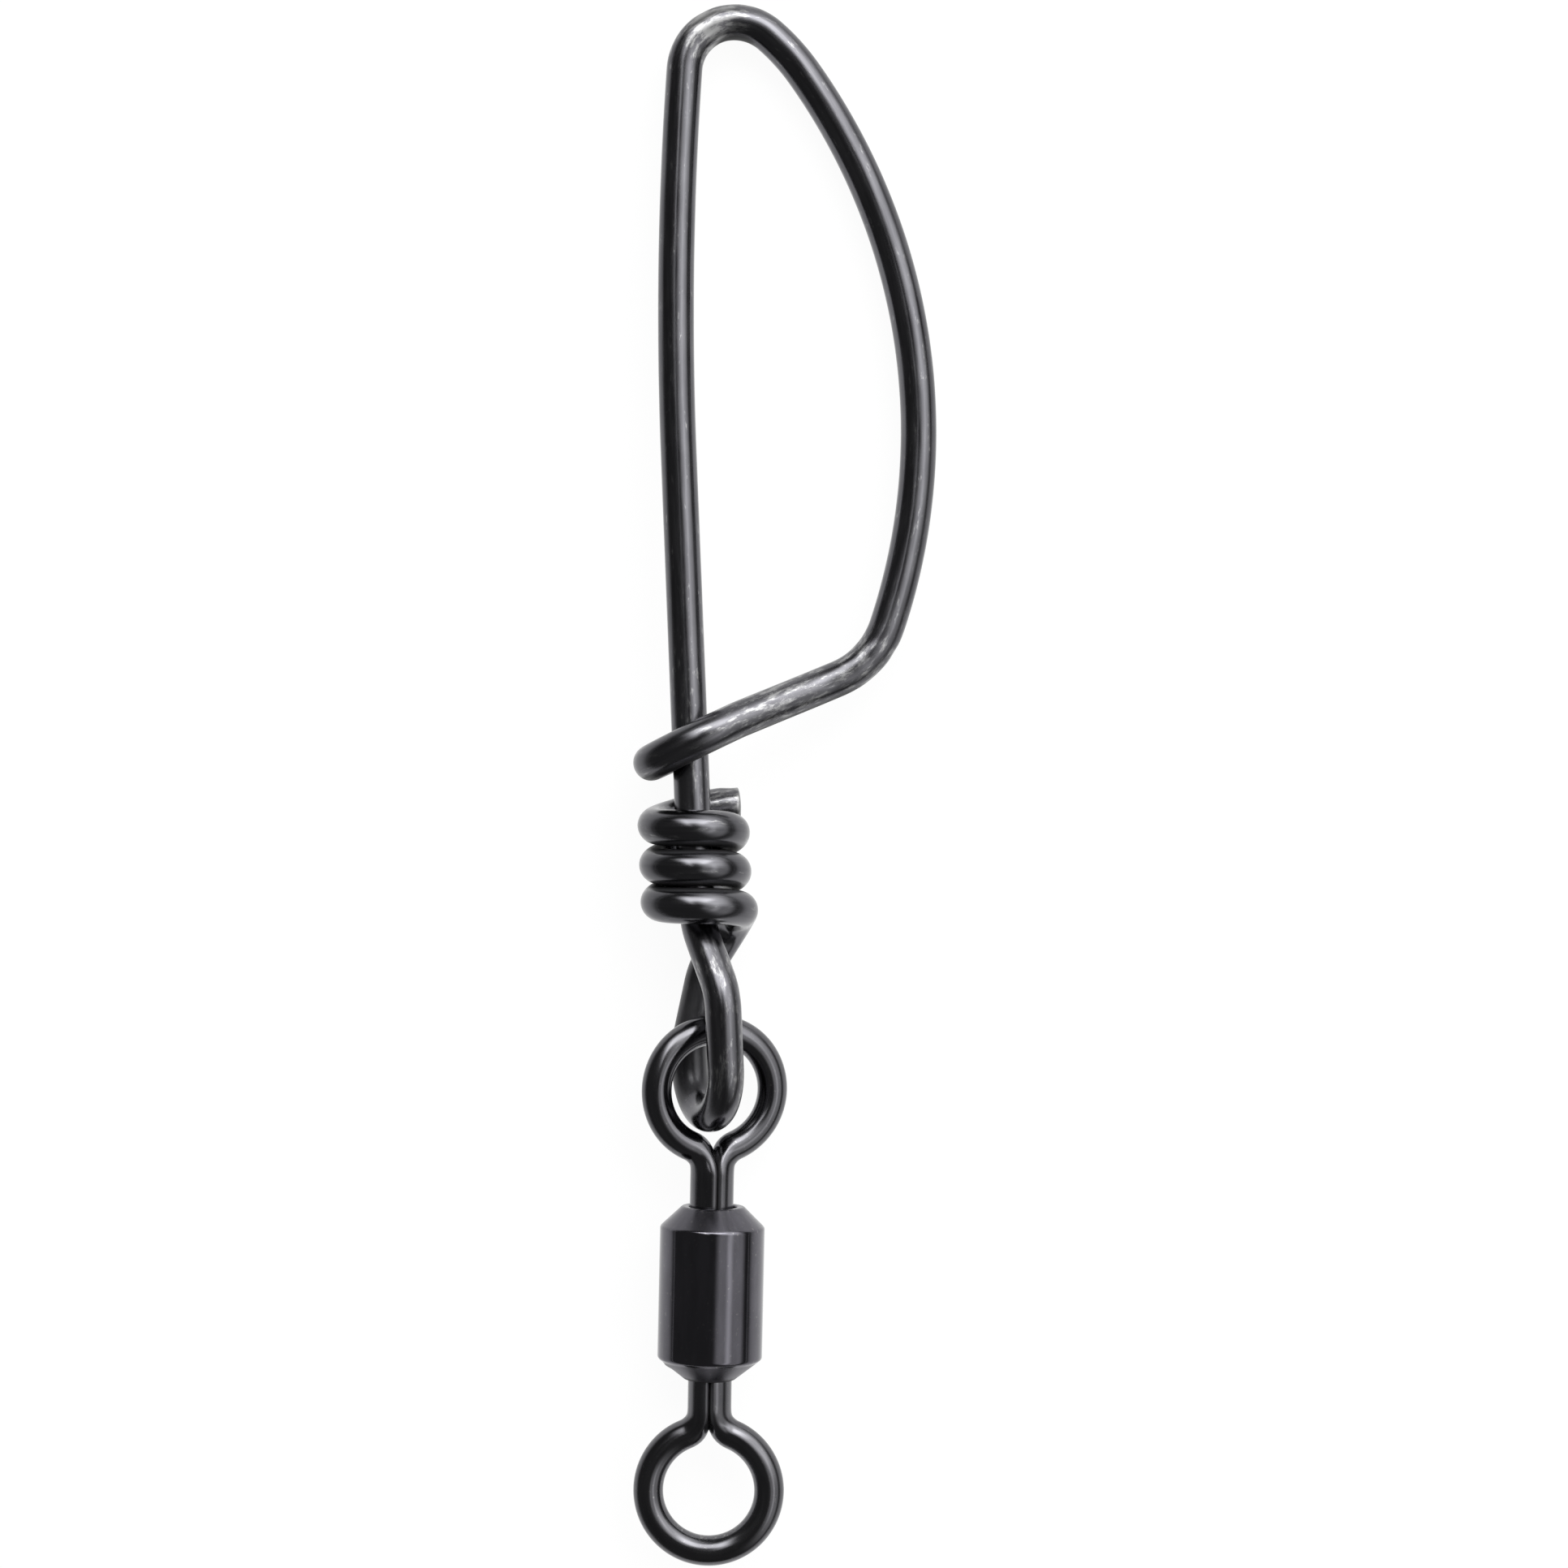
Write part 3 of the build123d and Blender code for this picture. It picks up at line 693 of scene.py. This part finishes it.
def floorPiece(look):
    # pale table: shown white, still taking the object's shadow; in reflections it glows with painted light,
    # brightest along the object's long axis and falling off to the sides as 1 / (1 + (x / reach)^2)
    half = look["floorHalf"]
    mesh = bpy.data.meshes.new("floor")
    corners = [(-half, -half, 0), (half, -half, 0), (half, half, 0), (-half, half, 0)]
    mesh.from_pydata(corners, [], [(0, 1, 2, 3)])
    floor = bpy.data.objects.new("floor", mesh)
    bpy.context.scene.collection.objects.link(floor)
    material = bpy.data.materials.new("paleTable")
    tree = newTree(material)
    seen, mirrored = rayKinds(tree)
    inFloor = put(tree, "ShaderNodeTexCoord").outputs["Object"]
    across = put(tree, "ShaderNodeSeparateXYZ", i0=inFloor).outputs[0]
    # painted light: the glow that reflections see is brightest on the object's axis and fades to the sides
    ratio = reckon(tree, "MULTIPLY", across, 1 / look["mirrorReach"])
    far = reckon(tree, "DIVIDE", look["floorMirrored"], reckon(tree, "MULTIPLY_ADD", ratio, ratio, 1.0))
    direct = reckon(tree, "MULTIPLY", seen, look["floorShown"])
    shown = reckon(tree, "MAXIMUM", direct, reckon(tree, "MULTIPLY", mirrored, far))
    glow = put(tree, "ShaderNodeEmission", Color=white, Strength=shown)
    shade = put(tree, "ShaderNodeBsdfDiffuse", Color=(look["floorShade"],) * 3 + (1,))
    lit = put(tree, "ShaderNodeAddShader", i0=glow.outputs[0], i1=shade.outputs[0])
    pale = put(tree, "ShaderNodeBsdfDiffuse", Color=(look["floorPale"],) * 3 + (1,))
    share = reckon(tree, "MAXIMUM", seen, mirrored)
    mix = put(tree, "ShaderNodeMixShader", i0=share, i1=pale.outputs[0], i2=lit.outputs[0])
    put(tree, "ShaderNodeOutputMaterial", Surface=mix.outputs[0])
    mesh.materials.append(material)


def studioWorld(look):
    # dim room with soft boxes: each is a window in azimuth times a window in polar angle, edges eased;
    # the camera itself sees white
    world = bpy.data.worlds.new("studio")
    bpy.context.scene.world = world
    tree = newTree(world)
    way = put(tree, "ShaderNodeTexCoord").outputs["Generated"]
    parts = put(tree, "ShaderNodeSeparateXYZ", i0=way).outputs
    azimuth = reckon(tree, "ARCTAN2", parts[1], parts[0])
    polar = reckon(tree, "ARCCOSINE", parts[2])
    total = look["room"]
    for box in look["boxes"]:
        strength = box["strength"]
        spans = [
            (azimuth, box["azimuth"], box["half"], box["side"]),
            (polar, box["polar"], box["tall"], box["edge"]),
        ]
        for angle, centre, half, edge in spans:
            off = reckon(tree, "ABSOLUTE", reckon(tree, "SUBTRACT", angle, float(np.radians(centre))))
            outside, inside = float(np.radians(half + edge)), float(np.radians(half - edge))
            window = ranged(tree, off, outside, inside, 0.0, 1.0)
            strength = reckon(tree, "MULTIPLY", window, strength)
        total = reckon(tree, "ADD", strength, total)
    low = ranged(tree, parts[2], look["backdropTop"], 0.0, 0.0, look["backdrop"])
    total = reckon(tree, "ADD", total, low)
    seen, _ = rayKinds(tree)
    sky = put(tree, "ShaderNodeBackground", Color=white, Strength=reckon(tree, "MAXIMUM", total, seen))
    put(tree, "ShaderNodeOutputWorld", Surface=sky.outputs[0])


floorPiece(studio)
studioWorld(studio)

view = {"at": (0.078, 0.011, 170.0), "lens": 79.42, "sensor": 36.0, "nearest": 5.0, "roll": 0.889}
cameraData = bpy.data.cameras.new("overhead")
cameraData.lens, cameraData.sensor_width = view["lens"], view["sensor"]
cameraData.clip_start = view["nearest"] * millimetre
camera = bpy.data.objects.new("overhead", cameraData)
camera.location = Vector(view["at"]) * millimetre
camera.rotation_euler = (0, 0, np.radians(view["roll"]))
bpy.context.scene.collection.objects.link(camera)
bpy.context.scene.camera = camera
bpy.context.scene.view_settings.view_transform = "Standard"
print("stage: studio made")
